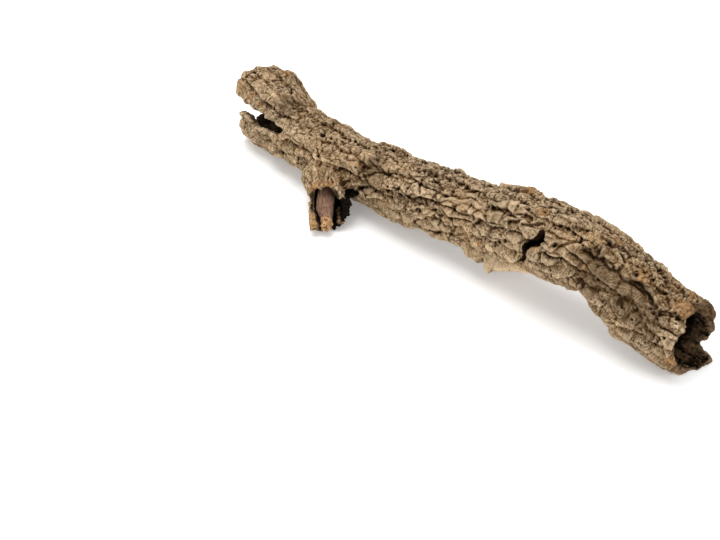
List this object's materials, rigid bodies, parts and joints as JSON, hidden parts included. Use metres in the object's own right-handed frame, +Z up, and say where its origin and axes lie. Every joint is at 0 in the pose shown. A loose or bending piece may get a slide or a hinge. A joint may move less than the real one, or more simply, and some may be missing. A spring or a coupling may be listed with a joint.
{
  "type": "cork branch",
  "caption": "Hollow forked branch of cork oak bark with open ends, a slit arm and a short broken side stub, lying on a flat surface.",
  "frame": {"origin": "middle of the box's plan, on the surface that the branch lies on", "axes": "+X from the arm's open end to the stem's, +Z up, the side stub leaves towards -Y"},
  "size_m": [0.4941, 0.118, 0.0877],
  "materials": {
    "bark": "rough, matt, cracked cork bark",
    "old_wood": "smooth, weathered, matt"
  },
  "bodies": {
    "root": {"main_stem": "bark", "upper_arm": "bark", "side_stub": "bark", "stub_core": "old_wood"}
  },
  "joints": []
}
